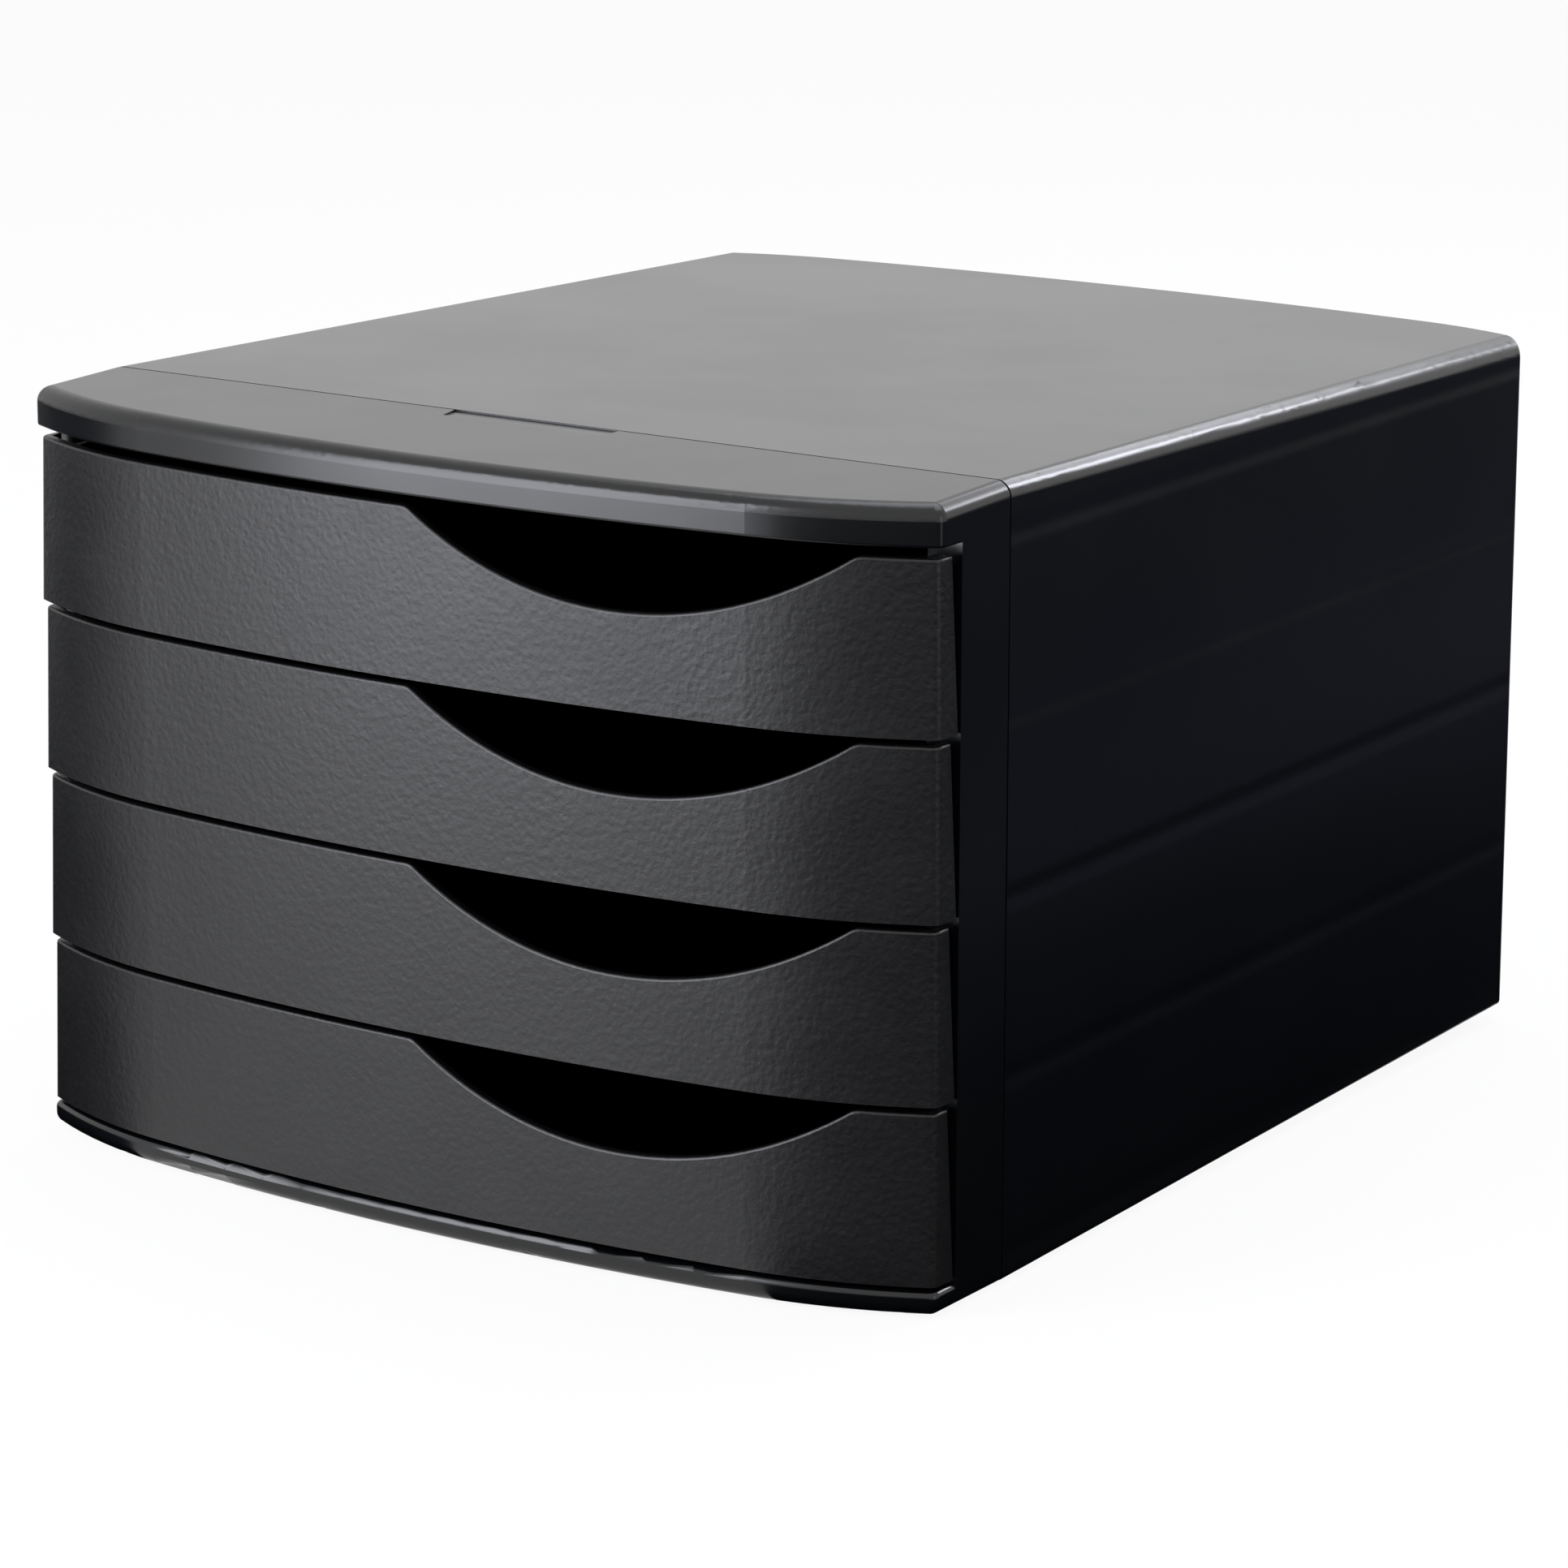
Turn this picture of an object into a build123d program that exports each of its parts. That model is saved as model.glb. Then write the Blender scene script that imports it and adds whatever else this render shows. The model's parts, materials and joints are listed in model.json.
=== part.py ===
from build123d import *
import math
import os

# Desktop drawer box: a moulded housing, a bowed front frame and four pull-out drawers.
# Frame: +Z up, +Y towards the back, +X to the right as seen from the front, millimetres.
# The origin is the middle of the footprint, on the surface that the feet stand on.
# Distances named AHEAD or BEHIND are measured from the seam between frame and housing.

# ---- driving dimensions ----------------------------------------------------------------------
WIDTH = 290.0              # front frame and housing, at the seam
SHELL_HEIGHT = 208.0       # housing at the seam, underside to top
FRONT_REACH = 52.6         # middle of the bowed front, ahead of the seam
REAR_REACH = 304.2         # middle of the bowed back, behind the seam
WALL = 2.5                 # housing and frame

FOOT_STAND = 0.9           # feet below the frame's underside
FRAME_DROP = 0.6           # frame's underside below the housing's
SIDE_DRAFT = 4.8           # each side comes in over REAR_REACH
TOP_DRAFT = 5.2            # top comes down over REAR_REACH
BASE_DRAFT = 3.6           # underside goes up over REAR_REACH
SHELL_TOP_ROUND = 4.3      # long top edges at the seam
SHELL_TOP_ROUND_REAR = 6.0
SHELL_BASE_ROUND = 1.5
REAR_ROUND = 1.5

FRONT_BOW_RADIUS = 770.0   # middle stretch of the front's plan outline
FRONT_END_SPAN = 48.0      # width of the tighter end at each side
FRONT_END_RADIUS = 140.0
REAR_BOW_RADIUS = 900.0
REAR_END_SPAN = 42.0
REAR_END_RADIUS = 110.0
CORNER_ROUND = 3.0         # upright corners of the front outline

FRAME_TOP_FALL = 1.6       # frame's top comes down over FRONT_REACH
FRAME_TOP_ROUND = SHELL_TOP_ROUND
FRAME_BASE_ROUND = 3.0
SEAM_CHAMFER = 0.3
LOWER_LIP = 5.8            # height of its top above the housing's underside
UPPER_LIP = 11.8           # its lower edge below the housing's top
LIP_ROUND = 1.8
APRON_ROUND = 0.8
LIP_PLATE = 2.2            # level plate of each lip
POST_AHEAD = 22.3          # front face of the posts
POST_WIDTH = 10.0
GUSSET = 1.8
GUSSETS = 4                # evenly spaced webs behind each lip
GUSSET_SIDE = 40.0         # from each side to the first one
BADGE_FRONT_WIDTH = 51.0   # shallow blank recess in the frame's top, at the seam
BADGE_SEAM_WIDTH = 55.0
BADGE_LENGTH = 7.0
BADGE_DEPTH = 0.4

TONGUE = 1.8               # snap-in tongues behind the frame
TONGUE_GAP = 0.2
TONGUE_LENGTH = 10.0
TONGUE_ROOT = 8.0
TONGUE_WIDTH = 34.0
TONGUE_SIDE = 50.0         # from each side to the middle of the outer tongues

DRAWERS = 4
LOWER_GAP = 1.2            # between the lower lip and the lowest front
FRONT_GAP = 1.9            # between two fronts
UPPER_GAP = 2.8            # between the top front and the upper lip
FRONT_WALL = 2.4
FRONT_INSET_BASE = 0.25    # leaning front face, set in from the frame's outline
FRONT_INSET_TOP = 1.2
FRONT_EDGE_ROUND = 0.8
WRAP_REAR_TOP = 2.8        # from the posts to the part that wraps round the corner
WRAP_REAR_BASE = 0.9

GRIP_SIDE = 20.4           # from the right side to the finger scallop
GRIP_HALF = 64.4
GRIP_DEPTH = 19.9
GRIP_SHOULDER = 5.0
GRIP_RELIEF = 1.5          # tray's scallop is this much larger

TRAY_SIDE_ROOM = 8.0       # between the tray and the housing's wall at the seam
TRAY_REAR_ROOM = 20.0      # between the tray and the crown of the bowed back
TRAY_WALL = 2.0
TRAY_FLOOR = 2.0
TRAY_REAR_ROUND = 5.0
TRAY_BASE_ROUND = 1.5
FRONT_SEAT = 0.15          # between a front and its tray
STAKE_RADIUS = 2.4         # pins that hold the front on the tray
STAKE_GAP = 0.1
STAKE_HEAD_RADIUS = 3.8
STAKE_HEAD = 1.2
STAKE_SIDE = 60.0          # from each side to the outer pins
STAKE_MIDDLE = 30.0        # from the middle to the inner pins of the lower row
STAKE_GRIP = 30.0          # from the scallop to the inner pin of the upper row
LOWER_STAKE_UP = 13.0      # above the front's lower edge
UPPER_STAKE_DOWN = 10.0    # below the front's upper edge

RUNNER = 2.0               # moulded runner ribs on the housing's sides
RUNNER_BELOW_FRONT = 0.5   # top of a runner below the lower edge of its front
RUNNER_UNDER = 8.5         # how far a runner reaches under the tray
RUNNER_START = 13.0        # behind the seam
RUNNER_REAR_ROOM = 24.0    # from the crown of the bowed back
RUNNER_LEAD = 8.0          # slanted lead-in at the front end
SLIDE_GAP = 0.3            # tray above its runners
TIP_GAP = 1.2              # tray below the next runners
BUMPER_X = 70.0            # upright ribs on the back wall that the closed trays rest against
BUMPER = 3.0
BUMPER_GAP = 0.4

TRAY_HELD = 64.2           # length of tray behind the seam when it is pulled out to its stop
STOP_GAP = 0.4
STOP_HOLD = 1.6            # overlap of a stop lug and its post
STOP_LENGTH = 5.0
STOP_UP = 12.0
STOP_HEIGHT = 18.0

FOOT_RADIUS = 7.0
FOOT_POCKET = 1.2
FOOT_BOSS = 1.5            # wall of the moulded boss round a foot
FOOT_SIDE = 23.0           # from each side
FOOT_FRONT = 22.0          # from the seam
FOOT_REAR = 46.0           # from the crown of the bowed back

# ---- values worked out from them -------------------------------------------------------------
HALF = WIDTH / 2
SEAM_Y = FRONT_REACH - (FRONT_REACH + REAR_REACH) / 2
FRAME_BASE = FOOT_STAND
SHELL_BASE = FRAME_BASE + FRAME_DROP
SHELL_TOP = SHELL_BASE + SHELL_HEIGHT
LIP_LOW = SHELL_BASE + LOWER_LIP
LIP_HIGH = SHELL_TOP - UPPER_LIP
FRONTS_HEIGHT = LIP_HIGH - UPPER_GAP - LIP_LOW - LOWER_GAP
PITCH = (FRONTS_HEIGHT + FRONT_GAP) / DRAWERS
FRONT_HEIGHT = PITCH - FRONT_GAP
GRIP_X = HALF - GRIP_SIDE - GRIP_HALF
GRIP_RADIUS = (GRIP_HALF ** 2 + GRIP_DEPTH ** 2) / (2 * GRIP_DEPTH)
POST_INNER = HALF - POST_WIDTH
POST_FLANGE = WALL
TRAY_HALF = HALF - WALL - TRAY_SIDE_ROOM
TRAY_BEHIND = REAR_REACH - TRAY_REAR_ROOM
TRAY_HEIGHT = PITCH - RUNNER - SLIDE_GAP - TIP_GAP
TRAVEL = TRAY_BEHIND - TRAY_HELD
RUNNER_INNER = TRAY_HALF - RUNNER_UNDER
RUNNER_END = REAR_REACH - RUNNER_REAR_ROOM
STOP_REACH = POST_INNER + STOP_HOLD - TRAY_HALF
PAST = 5.0                 # cutters reach this far past what they cut


def front_base(row):
    """Height of the lower edge of a drawer front; row 0 is the lowest."""
    return LIP_LOW + LOWER_GAP + row * PITCH


def runner_top(row):
    return front_base(row) - RUNNER_BELOW_FRONT


def tray_base(row):
    return runner_top(row) + SLIDE_GAP


def block(x0, x1, y0, y1, z0, z1):
    """Axis-aligned block between opposite corners."""
    box = Box(x1 - x0, y1 - y0, z1 - z0)
    return Pos((x0 + x1) / 2, (y0 + y1) / 2, (z0 + z1) / 2) * box


def side_prism(points, half_width):
    """Outline drawn as (y, z), extruded across the object."""
    face = Plane.YZ.offset(-half_width) * make_face(Polyline(*points, close=True))
    return extrude(face, 2 * half_width)


def standing(radius, height, up):
    """Cylinder that stands at a height."""
    cylinder = Cylinder(radius, height, align=(Align.CENTER, Align.CENTER, Align.MIN))
    return Pos(0, 0, up) * cylinder


# ---- bowed plan outlines ---------------------------------------------------------------------
class Bow:
    """Plan outline bowed away from the seam: a wide middle arc and two tighter end arcs."""

    def __init__(self, reach, radius, half, end_radius, direction):
        self.direction = direction
        self.radius = radius
        self.end_radius = end_radius
        self.turn = math.asin(half / radius)
        self.centre = reach - radius
        self.end_centre_x = (radius - end_radius) * math.sin(self.turn)
        self.end_centre = self.centre + (radius - end_radius) * math.cos(self.turn)

    def end_point(self, angle, inset):
        reach = self.end_radius - inset
        x = self.end_centre_x + reach * math.sin(angle)
        return x, self.end_centre + reach * math.cos(angle)

    def face(self, inset, half_width, back, corner_round=0.0):
        """Closed face from the bow to a straight line at the distance back, on z = 0."""
        reach = self.end_radius - inset
        last = math.asin((half_width - self.end_centre_x) / reach)
        joint = self.end_point(self.turn, inset)
        middle = self.end_point((self.turn + last) / 2, inset)
        corner = self.end_point(last, inset)

        def at(point, side=1):
            return (side * point[0], SEAM_Y + self.direction * point[1])

        crown = (0.0, self.centre + self.radius - inset)
        edges = [
            Line(at((half_width, back), -1), at(corner, -1)),
            ThreePointArc(at(corner, -1), at(middle, -1), at(joint, -1)),
            ThreePointArc(at(joint, -1), at(crown), at(joint)),
            ThreePointArc(at(joint), at(middle), at(corner)),
            Line(at(corner), at((half_width, back))),
            Line(at((half_width, back)), at((half_width, back), -1)),
        ]
        outline = make_face(edges).face()
        if corner_round > 0:
            tips = [v for v in outline.vertices() if abs(v.Y - at(corner)[1]) < 0.01]
            tips = [v for v in tips if abs(abs(v.X) - half_width) < 0.01]
            outline = outline.fillet_2d(corner_round, tips)
        return outline

    def tangent_plane(self, x, inset, z):
        """Plane on the middle arc at x, its normal pointing in towards the seam."""
        reach = self.radius - inset
        angle = math.asin(x / reach)
        y = SEAM_Y + self.direction * (self.centre + reach * math.cos(angle))
        inward = (-math.sin(angle), -self.direction * math.cos(angle), 0)
        return Plane(origin=(x, y, z), z_dir=inward)


FRONT = Bow(FRONT_REACH, FRONT_BOW_RADIUS, HALF - FRONT_END_SPAN, FRONT_END_RADIUS, -1)
REAR = Bow(REAR_REACH, REAR_BOW_RADIUS, HALF - REAR_END_SPAN, REAR_END_RADIUS, 1)


# ---- housing ---------------------------------------------------------------------------------
def side_x(behind, inset=0.0):
    """Half width of the drafted housing at a distance behind the seam."""
    return HALF - SIDE_DRAFT * behind / REAR_REACH - inset


def underside(behind):
    """Height of the drafted underside at a distance behind the seam."""
    return SHELL_BASE + BASE_DRAFT * behind / REAR_REACH


def shell_section(behind, inset=0.0):
    """Rounded upright section of the housing."""
    share = behind / REAR_REACH
    half_width = side_x(behind, inset)
    top = SHELL_TOP - TOP_DRAFT * share - inset
    base = underside(behind) + inset
    top_round = SHELL_TOP_ROUND + (SHELL_TOP_ROUND_REAR - SHELL_TOP_ROUND) * share - inset
    base_round = max(SHELL_BASE_ROUND - inset, SHELL_BASE_ROUND / 3)
    face = Pos(0, (top + base) / 2) * Rectangle(2 * half_width, top - base)
    face = fillet(face.vertices().group_by(Axis.Y)[-1], top_round)
    face = fillet(face.vertices().group_by(Axis.Y)[0], base_round)
    return Plane(origin=(0, SEAM_Y + behind, 0), x_dir=(1, 0, 0), z_dir=(0, -1, 0)) * face


def bowed_back(body, inset, start):
    """Cut a drafted body to the bowed back, set in from the outside."""
    plan = REAR.face(inset, side_x(0), start)
    return body & extrude(Pos(0, 0, SHELL_BASE - PAST) * plan, SHELL_HEIGHT + 2 * PAST)


def shell_outside():
    """Drafted body with a small chamfer round its front edge."""
    sections = [
        shell_section(0.0, SEAM_CHAMFER),
        shell_section(SEAM_CHAMFER),
        shell_section(REAR_REACH),
    ]
    body = bowed_back(loft(sections, ruled=True), 0.0, 0.0)
    back_edges = body.faces().sort_by(Axis.Y)[-1].edges().group_by(Axis.Z)[-1]
    return fillet(back_edges, REAR_ROUND)


def shell_inside():
    body = loft([shell_section(-PAST, WALL), shell_section(REAR_REACH, WALL)], ruled=True)
    return bowed_back(body, WALL, -PAST)


def runner(row, side):
    """Rib that carries the tray of this row and holds down the one below; row 0 is solid."""
    points = [
        (side * HALF, SEAM_Y + RUNNER_START),
        (side * (RUNNER_INNER + RUNNER_LEAD), SEAM_Y + RUNNER_START),
        (side * RUNNER_INNER, SEAM_Y + RUNNER_START + RUNNER_LEAD),
        (side * RUNNER_INNER, SEAM_Y + RUNNER_END),
        (side * HALF, SEAM_Y + RUNNER_END),
    ]
    face = make_face(Polyline(*points, close=True))
    depth = RUNNER if row else runner_top(row)
    return extrude(Pos(0, 0, runner_top(row)) * face, depth, dir=(0, 0, -1))


def bumper(x):
    """Upright rib on the back wall, floor to ceiling."""
    stop = SEAM_Y + TRAY_BEHIND + BUMPER_GAP
    return block(x - BUMPER / 2, x + BUMPER / 2, stop, SEAM_Y + REAR_REACH, 0.0, SHELL_TOP)


def foot_places():
    for side in (-1, 1):
        for behind in (FOOT_FRONT, REAR_REACH - FOOT_REAR):
            yield side * (HALF - FOOT_SIDE), SEAM_Y + behind


def foot_boss(x, y):
    """Moulded boss under the drafted underside, level with its lowest edge."""
    height = underside(y - SEAM_Y) + WALL / 2 - SHELL_BASE
    return Pos(x, y, SHELL_BASE) * standing(FOOT_RADIUS + FOOT_BOSS, height, 0.0)


def make_housing():
    cavity = shell_inside()
    for side in (-1, 1):
        for row in range(DRAWERS + 1):
            cavity -= runner(row, side)
        cavity -= bumper(side * BUMPER_X)
    housing = shell_outside() - cavity
    for x, y in foot_places():
        housing += foot_boss(x, y)
        housing -= Pos(x, y, SHELL_BASE) * standing(FOOT_RADIUS, FOOT_POCKET, 0.0)
    return housing


# ---- front frame -----------------------------------------------------------------------------
def frame_top_prism(inset):
    """Everything below the frame's falling top."""
    fall = FRAME_TOP_FALL / FRONT_REACH
    front_y = SEAM_Y - FRONT_REACH - PAST
    back_y = SEAM_Y + TONGUE_LENGTH + PAST
    return side_prism(
        [
            (front_y, 0.0),
            (front_y, SHELL_TOP - inset - fall * (FRONT_REACH + PAST)),
            (SEAM_Y, SHELL_TOP - inset),
            (back_y, SHELL_TOP - inset),
            (back_y, 0.0),
        ],
        HALF + PAST,
    )


def off_seam(edges):
    return [e for e in edges if abs(e.center().Y - SEAM_Y) > 0.05]


def frame_blank():
    """Frame as a solid block with its rounded outer edges."""
    plan = FRONT.face(0.0, HALF, 0.0, CORNER_ROUND)
    blank = extrude(Pos(0, 0, FRAME_BASE) * plan, SHELL_TOP - FRAME_BASE) & frame_top_prism(0.0)
    top = blank.faces().sort_by(Axis.Z)[-1]
    blank = fillet(off_seam(top.edges()), FRAME_TOP_ROUND)
    base = blank.faces().sort_by(Axis.Z)[0]
    blank = fillet(off_seam(base.edges()), FRAME_BASE_ROUND)
    return chamfer(blank.faces().sort_by(Axis.Y)[-1].edges(), SEAM_CHAMFER)


def hollow(z0, z1, back):
    """Space behind the outer wall of a lip, between two heights."""
    plan = FRONT.face(WALL, HALF - WALL, -back)
    return extrude(Pos(0, 0, z0) * plan, z1 - z0)


def tongue_along_top(x, top, root_top):
    y0 = SEAM_Y - TONGUE_ROOT
    blade = block(x - TONGUE_WIDTH / 2, x + TONGUE_WIDTH / 2, y0, SEAM_Y + TONGUE_LENGTH,
                  top - TONGUE, top)
    root = block(x - TONGUE_WIDTH / 2, x + TONGUE_WIDTH / 2, y0, SEAM_Y - SEAM_CHAMFER,
                 top - TONGUE, root_top)
    return blade + root


def tongue_along_side(side, z):
    outer = HALF - WALL - TONGUE_GAP - SIDE_DRAFT * TONGUE_LENGTH / REAR_REACH
    inner = outer - TONGUE
    y0 = SEAM_Y - TONGUE_ROOT
    reach = (min(side * inner, side * outer), max(side * inner, side * outer))
    root = (min(side * inner, side * (HALF - WALL / 2)), max(side * inner, side * (HALF - WALL / 2)))
    half_height = TONGUE_WIDTH / 4
    blade = block(*reach, y0, SEAM_Y + TONGUE_LENGTH, z - half_height, z + half_height)
    return blade + block(*root, y0, SEAM_Y - SEAM_CHAMFER, z - half_height, z + half_height)


def badge_recess():
    """Shallow blank recess in the frame's top that runs out at the seam."""
    fall = FRAME_TOP_FALL / FRONT_REACH
    points = [
        (-BADGE_FRONT_WIDTH / 2, SEAM_Y - BADGE_LENGTH),
        (BADGE_FRONT_WIDTH / 2, SEAM_Y - BADGE_LENGTH),
        (BADGE_SEAM_WIDTH / 2, SEAM_Y + PAST),
        (-BADGE_SEAM_WIDTH / 2, SEAM_Y + PAST),
    ]
    plan = make_face(Polyline(*points, close=True))
    floor = SHELL_TOP - BADGE_DEPTH - fall * BADGE_LENGTH / 2
    return extrude(Pos(0, 0, floor) * plan, PAST)


def make_front_frame():
    frame = frame_blank()
    ahead = SEAM_Y - FRONT_REACH - PAST
    post_y = SEAM_Y - POST_AHEAD
    frame -= block(-HALF - PAST, HALF + PAST, ahead, post_y, LIP_LOW, LIP_HIGH)
    lip_edges = [e for e in frame.edges() if e.bounding_box().size.Z < 0.01]
    lip_edges = [e for e in lip_edges if e.center().Y < post_y - 0.5]
    low_edges = [e for e in lip_edges if abs(e.center().Z - LIP_LOW) < 0.01]
    frame = fillet(low_edges, LIP_ROUND)
    high_edges = [e for e in frame.edges() if e.bounding_box().size.Z < 0.01]
    high_edges = [e for e in high_edges if e.center().Y < post_y - 0.5]
    high_edges = [e for e in high_edges if abs(e.center().Z - LIP_HIGH) < 0.01]
    frame = fillet(high_edges, APRON_ROUND)

    frame -= block(-POST_INNER, POST_INNER, ahead, SEAM_Y + PAST, LIP_LOW, LIP_HIGH)
    frame -= block(-HALF + WALL, HALF - WALL, post_y + POST_FLANGE, SEAM_Y + PAST, LIP_LOW, LIP_HIGH)
    upper = hollow(LIP_HIGH + LIP_PLATE, SHELL_TOP, PAST) & frame_top_prism(WALL)
    lower = hollow(FRAME_BASE - PAST, LIP_LOW - LIP_PLATE, PAST)
    step = 2 * (HALF - GUSSET_SIDE) / (GUSSETS - 1)
    for index in range(GUSSETS):
        x = GUSSET_SIDE - HALF + index * step
        web = block(x - GUSSET / 2, x + GUSSET / 2, ahead, SEAM_Y - TONGUE_ROOT, 0.0, SHELL_TOP)
        upper -= web
        lower -= web
    frame -= upper
    frame -= lower

    for x in (TONGUE_SIDE - HALF, 0.0, HALF - TONGUE_SIDE):
        frame += tongue_along_top(x, SHELL_TOP - WALL - TONGUE_GAP, SHELL_TOP - WALL / 2)
        floor_top = SHELL_BASE + WALL + TONGUE_GAP + TONGUE
        frame += tongue_along_top(x, floor_top, LIP_LOW - LIP_PLATE / 2)
    for row in range(DRAWERS):
        z = tray_base(row) + TRAY_HEIGHT / 2
        for side in (-1, 1):
            frame += tongue_along_side(side, z)
    return frame - badge_recess()


# ---- drawers ---------------------------------------------------------------------------------
def front_inset(row, z):
    """How far the leaning front face is set in from the frame's outline at a height."""
    share = (z - front_base(row)) / FRONT_HEIGHT
    return FRONT_INSET_BASE + (FRONT_INSET_TOP - FRONT_INSET_BASE) * share


def behind_front(row, setback, z0, z1, back):
    """Space behind a drawer's leaning face set back by a distance, between two heights."""
    sections = []
    for z in (z0, z1):
        inset = front_inset(row, z) + setback
        corner = max(CORNER_ROUND - setback, CORNER_ROUND / 4)
        sections.append(Pos(0, 0, z) * FRONT.face(inset, HALF - inset, -back, corner))
    return loft(sections, ruled=True)


def scallop(row, relief):
    """Cutter of the finger scallop: one wide arc between two rounded shoulders."""
    radius = GRIP_RADIUS + relief
    rise = GRIP_RADIUS - GRIP_DEPTH
    half = math.sqrt((radius + GRIP_SHOULDER) ** 2 - (rise + GRIP_SHOULDER) ** 2)
    lean = math.atan2(half, rise + GRIP_SHOULDER)
    meet = (radius * math.sin(lean), rise - radius * math.cos(lean))
    middle = (
        half - GRIP_SHOULDER * math.sin(lean / 2),
        GRIP_SHOULDER * (math.cos(lean / 2) - 1),
    )

    def left(point):
        return (-point[0], point[1])

    edges = [
        ThreePointArc((-half, 0), left(middle), left(meet)),
        ThreePointArc(left(meet), (0, rise - radius), meet),
        ThreePointArc(meet, middle, (half, 0)),
        Polyline((half, 0), (half, PAST), (-half, PAST), (-half, 0)),
    ]
    top = front_base(row) + FRONT_HEIGHT
    front_y = SEAM_Y - FRONT_REACH - PAST
    plane = Plane(origin=(GRIP_X, front_y, top), x_dir=(1, 0, 0), z_dir=(0, -1, 0))
    return extrude(plane * make_face(edges), -FRONT_REACH - 2 * PAST)


def upper_rim(body, low):
    """Edges between the outer face of a front and its top and scallop."""
    edges = [e for e in off_seam(body.edges()) if e.bounding_box().min.Z > low + 1]
    return [e for e in edges if e.bounding_box().size.X > 0.01 or abs(e.center().X) > HALF - PAST]


def stake_planes(row):
    """Planes on the inner face of the front where its pins stand."""
    outer = HALF - STAKE_SIDE
    lower = front_base(row) + LOWER_STAKE_UP
    upper = front_base(row) + FRONT_HEIGHT - UPPER_STAKE_DOWN
    places = [(x, lower) for x in (-outer, -STAKE_MIDDLE, STAKE_MIDDLE, outer)]
    places += [(x, upper) for x in (-outer, GRIP_X - GRIP_HALF - STAKE_GRIP)]
    for x, z in places:
        yield FRONT.tangent_plane(x, front_inset(row, z) + FRONT_WALL, z)


def make_drawer_front(row):
    low = front_base(row)
    high = low + FRONT_HEIGHT
    outer = behind_front(row, 0.0, low, high, 0.0) - scallop(row, 0.0)
    outer = fillet(upper_rim(outer, low), FRONT_EDGE_ROUND)
    inner = behind_front(row, FRONT_WALL, low - PAST, high + PAST, PAST)
    slant = PAST * (WRAP_REAR_TOP - WRAP_REAR_BASE) / FRONT_HEIGHT
    wrap = side_prism(
        [
            (SEAM_Y - FRONT_REACH - PAST, low - PAST),
            (SEAM_Y - POST_AHEAD - WRAP_REAR_BASE + slant, low - PAST),
            (SEAM_Y - POST_AHEAD - WRAP_REAR_TOP - slant, high + PAST),
            (SEAM_Y - FRONT_REACH - PAST, high + PAST),
        ],
        HALF + PAST,
    )
    front = (outer - inner) & wrap
    through = FRONT_SEAT + TRAY_WALL + FRONT_SEAT
    for plane in stake_planes(row):
        front += plane * standing(STAKE_RADIUS, FRONT_WALL / 2 + through, -FRONT_WALL / 2)
        front += plane * standing(STAKE_HEAD_RADIUS, STAKE_HEAD, through)
    return front


def tray_body(row, wall, floor, top_past):
    """Block of a tray set in by its wall: bowed at the front, square with round corners behind."""
    low = tray_base(row) + floor
    high = tray_base(row) + TRAY_HEIGHT + top_past
    bowed = behind_front(row, FRONT_WALL + FRONT_SEAT + wall, low, high, TRAY_BEHIND)
    half_width = TRAY_HALF - wall
    back = SEAM_Y + TRAY_BEHIND - wall
    front = SEAM_Y - FRONT_REACH
    plan = Pos(0, (front + back) / 2) * Rectangle(2 * half_width, back - front)
    plan = fillet(plan.vertices().group_by(Axis.Y)[-1], TRAY_REAR_ROUND - wall)
    return bowed & extrude(Pos(0, 0, low) * plan, high - low)


def make_drawer_tray(row):
    low = tray_base(row)
    outer = tray_body(row, 0.0, 0.0, 0.0)
    outer = fillet(outer.faces().sort_by(Axis.Z)[0].edges(), TRAY_BASE_ROUND)
    tray = outer - tray_body(row, TRAY_WALL, TRAY_FLOOR, PAST) - scallop(row, GRIP_RELIEF)
    for plane in stake_planes(row):
        tray -= plane * standing(STAKE_RADIUS + STAKE_GAP, TRAY_WALL + FRONT_WALL, 0.0)

    lug_front = SEAM_Y - POST_AHEAD + POST_FLANGE + TRAVEL + STOP_GAP
    lug = Box(2 * (TRAY_HALF + STOP_REACH), STOP_LENGTH, STOP_HEIGHT)
    lug = chamfer(lug.edges().filter_by(Axis.Z).group_by(Axis.Y)[-1], STOP_REACH * 0.8)
    lug = Pos(0, lug_front + STOP_LENGTH / 2, low + STOP_UP + STOP_HEIGHT / 2) * lug
    core = block(-TRAY_HALF + TRAY_WALL / 2, TRAY_HALF - TRAY_WALL / 2,
                 lug_front - PAST, lug_front + STOP_LENGTH + PAST, low, low + TRAY_HEIGHT)
    return tray + (lug - core)


# ---- feet ------------------------------------------------------------------------------------
def make_foot(x, y):
    foot = Cylinder(FOOT_RADIUS - STAKE_GAP, SHELL_BASE + FOOT_POCKET,
                    align=(Align.CENTER, Align.CENTER, Align.MIN))
    foot = fillet(foot.edges().group_by(Axis.Z)[0], FOOT_STAND / 2)
    return Pos(x, y, 0) * foot


def save(shape, name):
    solids = shape.solids()
    whole = solids[0] if len(solids) == 1 else Compound(children=solids)
    whole.label = name
    export_step(whole, os.path.join("parts", name + ".step"))


os.makedirs("parts", exist_ok=True)
save(make_housing(), "housing")
save(make_front_frame(), "front_frame")
for number in range(1, DRAWERS + 1):
    level = DRAWERS - number
    save(make_drawer_front(level), f"drawer_front_{number}")
    save(make_drawer_tray(level), f"drawer_tray_{number}")
for place, (foot_x, foot_y) in zip(
        ("foot_front_left", "foot_rear_left", "foot_front_right", "foot_rear_right"),
        foot_places()):
    save(make_foot(foot_x, foot_y), place)
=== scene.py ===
"""Desktop drawer box: finishes, floor, lamps and camera, laid out as an add-on."""

import json
import math

import bpy
from mathutils import Matrix, Vector

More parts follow.
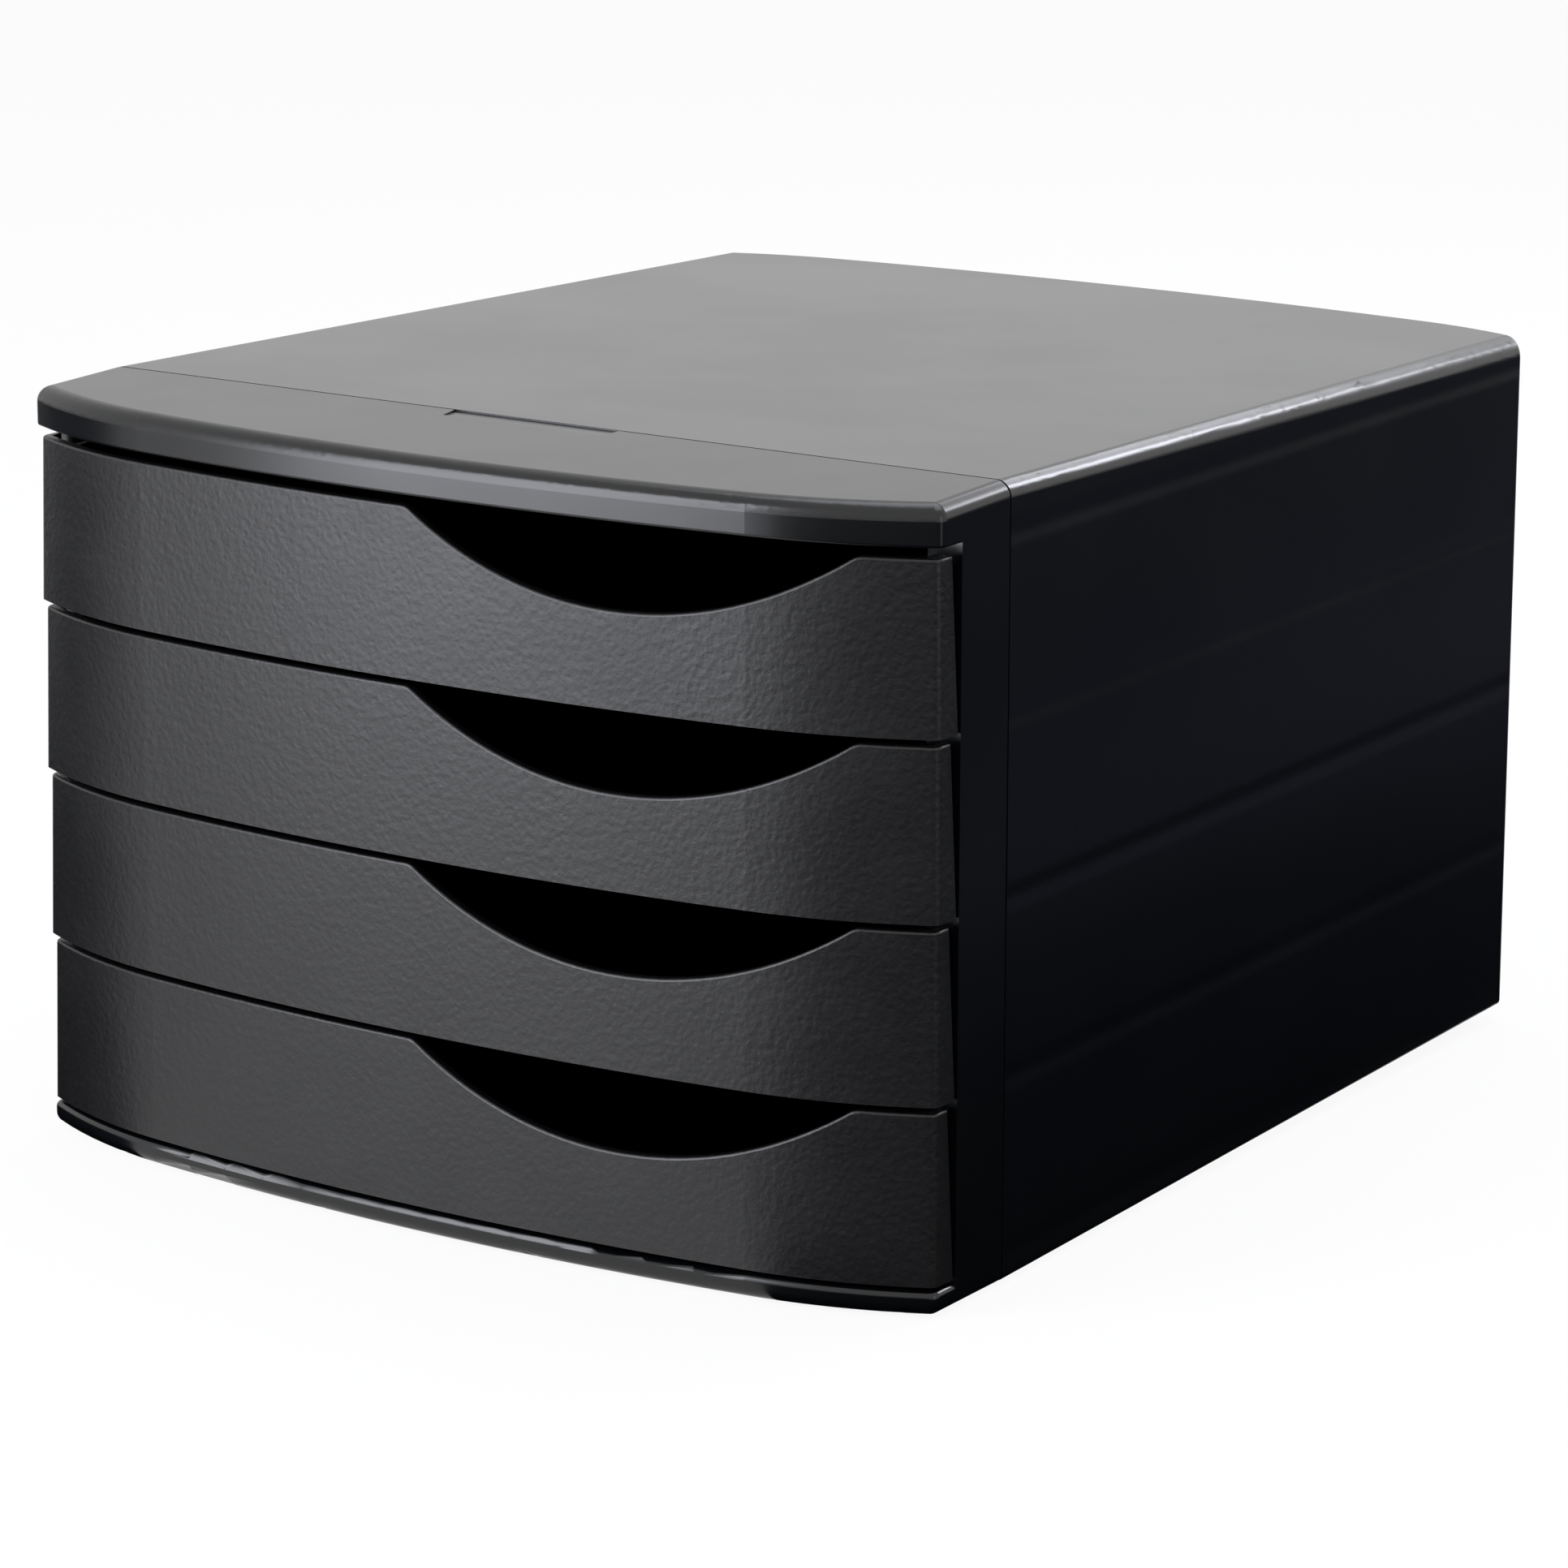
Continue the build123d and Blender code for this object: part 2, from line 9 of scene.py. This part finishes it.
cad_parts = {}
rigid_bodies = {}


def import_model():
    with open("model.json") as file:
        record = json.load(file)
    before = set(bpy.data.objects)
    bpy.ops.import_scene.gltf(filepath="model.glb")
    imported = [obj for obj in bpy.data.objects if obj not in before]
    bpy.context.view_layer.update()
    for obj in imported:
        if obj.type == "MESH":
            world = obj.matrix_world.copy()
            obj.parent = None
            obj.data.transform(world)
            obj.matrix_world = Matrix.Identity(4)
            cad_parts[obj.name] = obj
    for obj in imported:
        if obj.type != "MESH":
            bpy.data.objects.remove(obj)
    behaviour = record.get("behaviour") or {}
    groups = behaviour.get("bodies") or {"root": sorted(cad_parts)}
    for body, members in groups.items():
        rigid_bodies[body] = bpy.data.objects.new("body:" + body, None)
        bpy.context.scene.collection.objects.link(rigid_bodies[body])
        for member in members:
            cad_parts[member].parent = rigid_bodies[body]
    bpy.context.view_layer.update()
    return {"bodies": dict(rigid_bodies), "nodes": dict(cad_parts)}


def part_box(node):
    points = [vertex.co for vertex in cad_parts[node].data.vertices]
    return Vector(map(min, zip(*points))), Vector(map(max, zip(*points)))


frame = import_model()

bl_info = {
    "name": "Desktop Drawer Box",
    "version": (1, 0, 0),
    "blender": (4, 5, 0),
    "location": "View3D > Sidebar > Drawer Box",
    "description": "Gives the moulded drawer box its finishes and sets its stage",
    "category": "Object",
}

DRAWERS = sorted(name for name in frame["bodies"] if name.startswith("drawer_"))
FEET = sorted(name for name in frame["nodes"] if name.startswith("foot_"))

MM = 0.001
POLYSTYRENE_IOR = 1.5
RUBBER_IOR = 1.52
GROOVE_HALF_WIDTH = 0.45 * MM   # joint of frame and housing, drawn wider than real so it shows
GROOVE_DEPTH = 0.4 * MM
SINK_HALF_WIDTH = 4.5 * MM      # streak over a runner

FLOOR_REACH = 14.0
FLOOR_GLOW = 0.92               # share of the floor's white that takes no shadow
FLAG_REACH = 3.0
FLAG_ABOVE_FLOOR = 0.2 * MM
PAINTED_BAND_X = 0.37                # place along X of the flag's paler stripe, which paints a bright reflection band along the side
PAINTED_BAND_HALF_WIDTH = 0.09
PAINTED_BAND_GAIN = 1.6
FLAG_PAINTED_SHADE = 0.12             # share of the flag's colour left beside the box: painted shade in the box's reflections

SOFTBOXES = (
    # Name, place, aim, width and height, and the property that holds its power.
    ("overhead_softbox", (0.1, 0.3, 1.7), (0.0, 0.0, 0.1), 1.6, 1.2, "overhead_power"),
    ("front_softbox", (-0.41, -0.905, 0.41), (0.06, -0.015, 0.41), 0.52, 0.8, "front_power"),
    ("back_softbox", (0.14, 1.6, 1.17), (0.14, 0.0, 0.2), 1.1, 0.3, "back_power"),
    ("edge_softbox", (0.61, 1.27, 0.88), (0.14, -0.1, 0.206), 0.42, 0.22, "edge_power"),
    ("side_strip", (0.95, -0.32, 0.31), (0.1, -0.2, 0.31), 0.12, 0.6, "side_power"),
)


def linear(colour):
    """Linear RGB of an sRGB hex colour such as 1a1b1c."""
    shares = [int(colour[i:i + 2], 16) / 255 for i in (0, 2, 4)]
    return tuple(s / 12.92 if s <= 0.04045 else ((s + 0.055) / 1.055) ** 2.4 for s in shares)


# ---- sizes and colours that a user would change ----------------------------------------------
def colour_property(name, description, colour):
    return bpy.props.FloatVectorProperty(
        name=name, description=description, default=linear(colour),
        size=3, min=0.0, max=1.0, subtype="COLOR",
    )


def length_property(name, description, millimetres):
    return bpy.props.FloatProperty(
        name=name, description=description, default=millimetres * MM,
        min=0.0, precision=6, subtype="DISTANCE", unit="LENGTH",
    )


def power_property(name, description, watts):
    return bpy.props.FloatProperty(
        name=name, description=description, default=watts, min=0.0, subtype="POWER", unit="POWER"
    )


def angle_property(name, description, degrees):
    return bpy.props.FloatProperty(
        name=name, description=description, default=math.radians(degrees),
        subtype="ANGLE", unit="ROTATION",
    )


class DrawerBoxFinishes(bpy.types.PropertyGroup):
    housing_colour: colour_property("Housing", "Polished polystyrene of the housing", "040508")
    frame_colour: colour_property("Front frame", "Polished polystyrene of the frame", "040507")
    front_colour: colour_property("Drawer fronts", "Spark-eroded polystyrene", "050507")
    tray_colour: colour_property("Trays", "Satin polystyrene of the trays", "0c0c0e")
    rubber_colour: colour_property("Feet", "Rubber of the feet", "141414")
    grain: length_property("Grain", "Width of one grain of the drawer fronts", 1.2)
    grain_depth: length_property("Grain depth", "Height of that grain", 0.07)
    ripple: length_property("Ripple", "Distance between the slow waves of a polished wall", 26.0)
    sink: length_property("Sink", "Depth of the sink marks over the runners", 0.2)


class DrawerBoxStage(bpy.types.PropertyGroup):
    floor_colour: colour_property("Floor", "Pale floor under the box", "f8f8f8")
    # The flag's colour paints the dark reflections in the box's gloss; it is no cloth the camera
    # sees.
    flag_colour: colour_property("Flag", "Dark cloth that hides the floor from gloss", "32353e")
    softbox_colour: colour_property("Softboxes", "Light of the softboxes", "f4f6ff")
    overhead_power: power_property("Overhead lamp", "Softbox above the box", 14.0)
    front_power: power_property("Front lamp", "Softbox standing in front, on the left", 9.0)
    back_power: power_property("Back lamp", "Wide softbox behind, above the back edge", 5.0)
    edge_power: power_property("Edge lamp", "Small softbox that draws the long right edge", 4.5)
    side_power: power_property("Side lamp", "Strip standing on the right, for the corners", 0.5)
    world_strength: bpy.props.FloatProperty(
        name="Surroundings", description="Strength of the room's even light",
        default=0.55, min=0.0, max=2.0,
    )
    camera_place: bpy.props.FloatVectorProperty(
        name="Camera", description="Place of the camera",
        default=(0.87581, -1.31559, 0.48403), size=3, subtype="TRANSLATION", unit="LENGTH",
    )
    camera_yaw: angle_property("Turn", "Turn towards the left of straight back", 33.855)
    camera_pitch: angle_property("Tilt", "Camera's tilt below the horizon", 13.375)
    camera_roll: angle_property("Roll", "Turn about the camera's own line of sight", 0.137)
    lens: bpy.props.FloatProperty(
        name="Lens", description="Focal length in millimetres for a sensor 36 mm wide",
        default=132.17, min=10.0,
    )
    shift: bpy.props.FloatProperty(
        name="Shift", description="Upright shift of the frame, in frame widths",
        default=-0.0497, min=-0.2, max=0.2,
    )


# ---- materials -------------------------------------------------------------------------------
def add_node(tree, kind, inputs=None, output=0, **settings):
    """Adds a node and gives its output; an input takes a value, or the output that feeds it."""
    made = tree.nodes.new(kind)
    for name, value in settings.items():
        setattr(made, name, value)
    for socket, value in (inputs or {}).items():
        if isinstance(value, bpy.types.NodeSocket):
            tree.links.new(value, made.inputs[socket])
        else:
            made.inputs[socket].default_value = value
    return made.outputs[output] if len(made.outputs) else None


def blank_material(name):
    """A material with an empty tree, and its Object coordinates."""
    material = bpy.data.materials.new(name)
    material.use_nodes = True
    tree = material.node_tree
    tree.nodes.clear()
    return material, tree, add_node(tree, "ShaderNodeTexCoord", output="Object")


def plastic(tree, colour, ior, normal, roughness):
    """The shader of one plastic, joined to the material's output."""
    shader = add_node(
        tree, "ShaderNodeBsdfPrincipled",
        {"Base Color": colour, "IOR": ior, "Normal": normal, "Roughness": roughness},
    )
    add_node(tree, "ShaderNodeOutputMaterial", {"Surface": shader})


def uneven_skin(tree, place, width, depth, detail=2.0, under=None):
    """A skin with smooth random waves of that width and depth, in metres."""
    waves = add_node(
        tree, "ShaderNodeTexNoise", {"Vector": place, "Scale": 1.0 / width, "Detail": detail}
    )
    inputs = {"Height": waves, "Distance": depth, "Strength": 1.0}
    if under is not None:
        inputs["Normal"] = under
    return add_node(tree, "ShaderNodeBump", inputs)


def patchy_roughness(tree, place, width, low, high, detail=3.0):
    """Roughness that drifts between low and high over patches that many metres wide."""
    patches = add_node(
        tree, "ShaderNodeTexNoise", {"Vector": place, "Scale": 1.0 / width, "Detail": detail}
    )
    return add_node(
        tree, "ShaderNodeMapRange",
        {"Value": patches, "From Min": 0.35, "From Max": 0.7, "To Min": low, "To Max": high},
        interpolation_type="SMOOTHSTEP",
    )


def polished_wall(tree, place, ripple):
    """The slow ripple and the fine peel that a polished mould leaves in a wide wall."""
    slow = uneven_skin(tree, place, ripple, ripple / 16000, 1.0)
    return uneven_skin(tree, place, ripple / 12, ripple / 200000, 1.0, slow)


def joint_groove(tree, place, under):
    """The fine open joint round the box where the front frame meets the housing."""
    along = add_node(tree, "ShaderNodeSeparateXYZ", {"Vector": place}, "Y")
    behind = add_node(
        tree, "ShaderNodeMath", {0: along, 1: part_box("housing")[0].y}, operation="SUBTRACT"
    )
    distance = add_node(tree, "ShaderNodeMath", {0: behind}, operation="ABSOLUTE")
    height = add_node(
        tree, "ShaderNodeMapRange", {"Value": distance, "From Max": GROOVE_HALF_WIDTH},
        interpolation_type="SMOOTHSTEP",
    )
    return add_node(
        tree, "ShaderNodeBump",
        {"Height": height, "Distance": GROOVE_DEPTH, "Strength": 1.0, "Normal": under},
    )


def runner_sinks(tree, place):
    """1 along the level lines where a runner stands behind a side wall, else 0."""
    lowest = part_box("drawer_tray_4")[0].z
    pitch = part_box("drawer_tray_3")[0].z - lowest
    height = add_node(tree, "ShaderNodeSeparateXYZ", {"Vector": place}, "Z")
    above = add_node(tree, "ShaderNodeMath", {0: height, 1: lowest}, operation="SUBTRACT")
    distance = add_node(
        tree, "ShaderNodeMath", {0: above, 1: pitch / 2}, operation="PINGPONG"
    )
    streak = add_node(
        tree, "ShaderNodeMapRange",
        {"Value": distance, "From Max": SINK_HALF_WIDTH, "To Min": 1.0, "To Max": 0.0},
        interpolation_type="SMOOTHSTEP",
    )
    normal = add_node(tree, "ShaderNodeNewGeometry", output="Normal")
    across = add_node(tree, "ShaderNodeSeparateXYZ", {"Vector": normal}, "X")
    sideways = add_node(tree, "ShaderNodeMath", {0: across}, operation="ABSOLUTE")
    on_side = add_node(
        tree, "ShaderNodeMapRange", {"Value": sideways, "From Min": 0.9, "From Max": 0.98},
        interpolation_type="SMOOTHSTEP",
    )
    return add_node(tree, "ShaderNodeMath", {0: streak, 1: on_side}, operation="MULTIPLY")


def polished_polystyrene_housing(finishes):
    # High-impact polystyrene from a polished mould: deep black, clear reflections that waver a
    # little, and faint level streaks where the wall sank over the runners inside.
    material, tree, place = blank_material("polished_polystyrene_housing")
    unsunk = add_node(
        tree, "ShaderNodeMath", {0: 1.0, 1: runner_sinks(tree, place)}, operation="SUBTRACT"
    )
    wall = add_node(
        tree, "ShaderNodeBump",
        {"Height": unsunk, "Distance": finishes.sink, "Strength": 1.0,
         "Normal": polished_wall(tree, place, finishes.ripple)},
    )
    plastic(tree, (*finishes.housing_colour, 1.0), POLYSTYRENE_IOR,
            joint_groove(tree, place, wall), patchy_roughness(tree, place, 60 * MM, 0.235, 0.255))
    return material


def polished_polystyrene_frame(finishes):
    # The same polystyrene from a better polished mould: a little glossier than the housing.
    material, tree, place = blank_material("polished_polystyrene_frame")
    wall = polished_wall(tree, place, finishes.ripple)
    plastic(tree, (*finishes.frame_colour, 1.0), POLYSTYRENE_IOR,
            joint_groove(tree, place, wall), patchy_roughness(tree, place, 35 * MM, 0.23, 0.25))
    return material


def spark_eroded_polystyrene(finishes):
    # Polystyrene from a spark-eroded mould: an even matte grain that scatters light, charcoal
    # beside the gloss. The real grain of about 0.4 mm is drawn at 1.2 mm, so that it shows.
    material, tree, place = blank_material("spark_eroded_polystyrene")
    fine = add_node(
        tree, "ShaderNodeTexNoise",
        {"Vector": place, "Scale": 1.0 / finishes.grain, "Detail": 3.0},
    )
    pits = add_node(
        tree, "ShaderNodeTexVoronoi", {"Vector": place, "Scale": 1.0 / (1.6 * finishes.grain)},
        "Distance", feature="SMOOTH_F1",
    )
    pitted = add_node(
        tree, "ShaderNodeBump",
        {"Height": pits, "Distance": finishes.grain_depth, "Strength": 1.0},
    )
    normal = add_node(
        tree, "ShaderNodeBump",
        {"Height": fine, "Distance": finishes.grain_depth, "Strength": 1.0, "Normal": pitted},
    )
    share = add_node(
        tree, "ShaderNodeMapRange", {"Value": fine, "From Min": 0.3, "From Max": 0.7},
        interpolation_type="SMOOTHSTEP",
    )
    dark = [0.62 * part for part in finishes.front_colour]
    light = [min(1.0, 1.45 * part) for part in finishes.front_colour]
    tone = add_node(
        tree, "ShaderNodeMix", {"Factor": share, "A": (*dark, 1.0), "B": (*light, 1.0)},
        "Result", data_type="RGBA",
    )
    plastic(tree, tone, POLYSTYRENE_IOR, normal,
            patchy_roughness(tree, place, 25 * MM, 0.37, 0.41))
    return material


def satin_polystyrene(finishes):
    # Polystyrene from a mould that was only blasted: a soft sheen without clear reflections.
    material, tree, place = blank_material("satin_polystyrene")
    plastic(tree, (*finishes.tray_colour, 1.0), POLYSTYRENE_IOR,
            uneven_skin(tree, place, 1.2 * MM, 0.006 * MM),
            patchy_roughness(tree, place, 30 * MM, 0.32, 0.4))
    return material


def moulded_rubber(finishes):
    # Vulcanised rubber from a plain mould: dull, with a soft uneven skin.
    material, tree, place = blank_material("moulded_rubber")
    plastic(tree, (*finishes.rubber_colour, 1.0), RUBBER_IOR,
            uneven_skin(tree, place, 0.8 * MM, 0.02 * MM),
            patchy_roughness(tree, place, 4 * MM, 0.72, 0.85, 2.0))
    return material


def dress(names, material):
    """Gives CAD nodes that material, and nothing else."""
    for name in names:
        slots = frame["nodes"][name].material_slots
        if not slots:
            raise RuntimeError(f"{name} has no material slot")
        for slot in slots:
            slot.material = material


# ---- operators for the pieces ----------------------------------------------------------------
class DRAWERBOX_OT_housing(bpy.types.Operator):
    """Finish the housing as polished polystyrene with faint sink marks"""

    bl_idname = "drawerbox.housing"
    bl_label = "Housing"

    def execute(self, context):
        dress(["housing"], polished_polystyrene_housing(context.scene.drawer_box_finishes))
        return {"FINISHED"}


class DRAWERBOX_OT_front_frame(bpy.types.Operator):
    """Finish the front frame as polished polystyrene"""

    bl_idname = "drawerbox.front_frame"
    bl_label = "Front frame"

    def execute(self, context):
        dress(["front_frame"], polished_polystyrene_frame(context.scene.drawer_box_finishes))
        return {"FINISHED"}


class DRAWERBOX_OT_drawer_fronts(bpy.types.Operator):
    """Finish the bowed drawer fronts with their matte grain"""

    bl_idname = "drawerbox.drawer_fronts"
    bl_label = "Drawer fronts"

    def execute(self, context):
        fronts = [name.replace("drawer_", "drawer_front_") for name in DRAWERS]
        dress(fronts, spark_eroded_polystyrene(context.scene.drawer_box_finishes))
        return {"FINISHED"}


class DRAWERBOX_OT_trays(bpy.types.Operator):
    """Finish the drawer trays with a satin sheen"""

    bl_idname = "drawerbox.trays"
    bl_label = "Trays"

    def execute(self, context):
        trays = [name.replace("drawer_", "drawer_tray_") for name in DRAWERS]
        dress(trays, satin_polystyrene(context.scene.drawer_box_finishes))
        return {"FINISHED"}


class DRAWERBOX_OT_feet(bpy.types.Operator):
    """Finish the four feet as moulded rubber"""

    bl_idname = "drawerbox.feet"
    bl_label = "Feet"

    def execute(self, context):
        dress(FEET, moulded_rubber(context.scene.drawer_box_finishes))
        return {"FINISHED"}


# ---- stage -----------------------------------------------------------------------------------
def seen_as_white(tree):
    """1 for the rays that show the background: camera, glossy and transmission rays."""
    rays = add_node(tree, "ShaderNodeLightPath").node.outputs
    glossy = add_node(
        tree, "ShaderNodeMath", {0: rays["Is Camera Ray"], 1: rays["Is Glossy Ray"]},
        operation="MAXIMUM",
    )
    return add_node(
        tree, "ShaderNodeMath", {0: glossy, 1: rays["Is Transmission Ray"]}, operation="MAXIMUM"
    )


def sheet(name, corners, faces, material):
    """A flat sheet of the stage."""
    mesh = bpy.data.meshes.new(name)
    mesh.from_pydata(corners, [], faces)
    mesh.materials.append(material)
    made = bpy.data.objects.new(name, mesh)
    bpy.context.scene.collection.objects.link(made)
    return made


def pale_floor(stage):
    # Matt white paper: it glows a little for the eye, so that it stays white under soft
    # lamps and still takes the box's shadow.
    material, tree, place = blank_material("matt_white_paper")
    fibre = uneven_skin(tree, place, 2 * MM, 0.01 * MM)
    paper = add_node(
        tree, "ShaderNodeBsdfDiffuse", {"Color": (*stage.floor_colour, 1.0), "Normal": fibre}
    )
    glow = add_node(tree, "ShaderNodeEmission", {"Color": (1.0, 1.0, 1.0, 1.0), "Strength": 1.0})
    share = add_node(
        tree, "ShaderNodeMath", {0: seen_as_white(tree), 1: FLOOR_GLOW}, operation="MULTIPLY"
    )
    mix = add_node(tree, "ShaderNodeMixShader", {0: share, 1: paper, 2: glow})
    add_node(tree, "ShaderNodeOutputMaterial", {"Surface": mix})
    far = FLOOR_REACH
    corners = [(-far, -far, 0), (far, -far, 0), (far, far, 0), (-far, far, 0)]
    sheet("floor", corners, [(0, 1, 2, 3)], material)


def grey_flag(stage):
    # A dark sheet on the floor, seen by glossy rays alone: it paints dark reflections in the
    # box's gloss. It hides the white floor from the box's gloss, and without it the side would be
    # grey. Its painted shade is darkest beside the box. A wedge towards the front left stays
    # open, so that the fronts mirror white there, and a paler stripe on the right paints the soft
    # bright reflection band along the side.
    material, tree, place = blank_material("dark_flag_cloth")
    # Painted shade in the reflections: the flag is darkest beside the box and paler away from it.
    away = add_node(
        tree, "ShaderNodeVectorMath", {0: place}, "Value", operation="LENGTH"
    )
    far_off = add_node(
        tree, "ShaderNodeMapRange",
        {"Value": away, "From Min": 0.15, "From Max": 0.85, "To Max": 0.75},
        interpolation_type="SMOOTHSTEP",
    )
    # Painted reflection: a paler stripe of the flag, which the side mirrors as a soft bright
    # band.
    across = add_node(tree, "ShaderNodeSeparateXYZ", {"Vector": place}, "X")
    past_painted_band = add_node(
        tree, "ShaderNodeMath", {0: across, 1: PAINTED_BAND_X}, operation="SUBTRACT"
    )
    beside = add_node(tree, "ShaderNodeMath", {0: past_painted_band}, operation="ABSOLUTE")
    painted_band = add_node(
        tree, "ShaderNodeMapRange",
        {"Value": beside, "From Max": PAINTED_BAND_HALF_WIDTH, "To Min": PAINTED_BAND_GAIN,
         "To Max": 0.0},
        interpolation_type="SMOOTHSTEP",
    )
    faded = add_node(tree, "ShaderNodeMath", {0: far_off, 1: painted_band}, operation="ADD")
    dark = [FLAG_PAINTED_SHADE * part for part in stage.flag_colour]
    shade = add_node(
        tree, "ShaderNodeMix",
        {"Factor": faded, "A": (*dark, 1.0), "B": (*stage.flag_colour, 1.0)},
        "Result", data_type="RGBA", clamp_factor=False,
    )
    weave = uneven_skin(tree, place, 3 * MM, 0.05 * MM)
    reflection_only_sheet = add_node(tree, "ShaderNodeBsdfDiffuse", {"Color": shade, "Normal": weave})
    add_node(tree, "ShaderNodeOutputMaterial", {"Surface": reflection_only_sheet})
    low, far = FLAG_ABOVE_FLOOR, FLAG_REACH
    corners = [(0.142, -0.044, low), (-0.76, -far, low), (far, -far, low), (far, far, low),
               (0.142, far, low), (-far, 0.1, low), (-far, -1.66, low)]
    flag = sheet("flag", corners, [(0, 1, 2), (0, 2, 3), (0, 3, 4), (0, 5, 6)], material)
    flag.visible_camera = False
    flag.visible_diffuse = False
    flag.visible_transmission = False
    flag.visible_volume_scatter = False
    flag.visible_shadow = False


def even_surroundings(scene, stage):
    """An even light, and plain white wherever the background is seen."""
    world = bpy.data.worlds.new("even_surroundings")
    world.use_nodes = True
    tree = world.node_tree
    tree.nodes.clear()
    strength = add_node(
        tree, "ShaderNodeMapRange",
        {"Value": seen_as_white(tree), "To Min": stage.world_strength, "To Max": 1.0},
    )
    glow = add_node(
        tree, "ShaderNodeBackground", {"Color": (1.0, 1.0, 1.0, 1.0), "Strength": strength}
    )
    add_node(tree, "ShaderNodeOutputWorld", {"Surface": glow})
    scene.world = world


def softbox(name, place, aim, width, height, power, colour):
    lamp = bpy.data.lights.new(name, "AREA")
    lamp.shape = "RECTANGLE"
    lamp.size, lamp.size_y = width, height
    lamp.energy = power
    lamp.color = colour
    made = bpy.data.objects.new(name, lamp)
    made.location = place
    made.rotation_euler = (Vector(aim) - Vector(place)).to_track_quat("-Z", "Y").to_euler()
    made.visible_camera = False
    bpy.context.scene.collection.objects.link(made)


def studio_camera(scene, stage):
    camera = bpy.data.cameras.new("camera")
    camera.sensor_width = 36.0
    camera.lens = stage.lens
    camera.shift_y = stage.shift
    camera.clip_start, camera.clip_end = 0.05, 60.0
    made = bpy.data.objects.new("camera", camera)
    scene.collection.objects.link(made)
    turn, tilt, roll = stage.camera_yaw, stage.camera_pitch, stage.camera_roll
    ahead = Vector((
        -math.sin(turn) * math.cos(tilt), math.cos(turn) * math.cos(tilt), -math.sin(tilt)
    ))
    right = Vector((math.cos(turn), math.sin(turn), 0.0))
    rolled_right = math.cos(roll) * right + math.sin(roll) * right.cross(ahead)
    rolled_up = rolled_right.cross(ahead)
    axes = Matrix((rolled_right, rolled_up, -ahead)).transposed().to_4x4()
    made.matrix_world = Matrix.Translation(stage.camera_place) @ axes
    scene.camera = made


class DRAWERBOX_OT_stage(bpy.types.Operator):
    """Set the pale floor, the dark flag, the softboxes, the surroundings and the camera"""

    bl_idname = "drawerbox.stage"
    bl_label = "Stage"

    def execute(self, context):
        scene, stage = context.scene, context.scene.drawer_box_stage
        scene.view_settings.view_transform = "Standard"
        pale_floor(stage)
        grey_flag(stage)
        even_surroundings(scene, stage)
        for name, place, aim, width, height, power in SOFTBOXES:
            softbox(name, place, aim, width, height, getattr(stage, power), stage.softbox_colour)
        studio_camera(scene, stage)
        return {"FINISHED"}


# ---- panel and registration ------------------------------------------------------------------
class DRAWERBOX_PT_sidebar(bpy.types.Panel):
    """The drawer box's pieces and stage, with their sizes and colours"""

    bl_idname = "DRAWERBOX_PT_sidebar"
    bl_label = "Drawer Box"
    bl_space_type = "VIEW_3D"
    bl_region_type = "UI"
    bl_category = "Drawer Box"

    def draw(self, context):
        for operator in OPERATORS:
            self.layout.operator(operator.bl_idname)
        for group in (context.scene.drawer_box_finishes, context.scene.drawer_box_stage):
            box = self.layout.box()
            for name in group.__annotations__:
                box.prop(group, name)


OPERATORS = (
    DRAWERBOX_OT_housing,
    DRAWERBOX_OT_front_frame,
    DRAWERBOX_OT_drawer_fronts,
    DRAWERBOX_OT_trays,
    DRAWERBOX_OT_feet,
    DRAWERBOX_OT_stage,
)
CLASSES = (DrawerBoxFinishes, DrawerBoxStage, *OPERATORS, DRAWERBOX_PT_sidebar)


def register():
    for cls in CLASSES:
        bpy.utils.register_class(cls)
    bpy.types.Scene.drawer_box_finishes = bpy.props.PointerProperty(type=DrawerBoxFinishes)
    bpy.types.Scene.drawer_box_stage = bpy.props.PointerProperty(type=DrawerBoxStage)


def unregister():
    del bpy.types.Scene.drawer_box_stage
    del bpy.types.Scene.drawer_box_finishes
    for cls in reversed(CLASSES):
        bpy.utils.unregister_class(cls)


def main():
    register()
    bpy.ops.drawerbox.housing()
    bpy.ops.drawerbox.front_frame()
    bpy.ops.drawerbox.drawer_fronts()
    bpy.ops.drawerbox.trays()
    bpy.ops.drawerbox.feet()
    bpy.ops.drawerbox.stage()


if __name__ == "__main__":
    main()
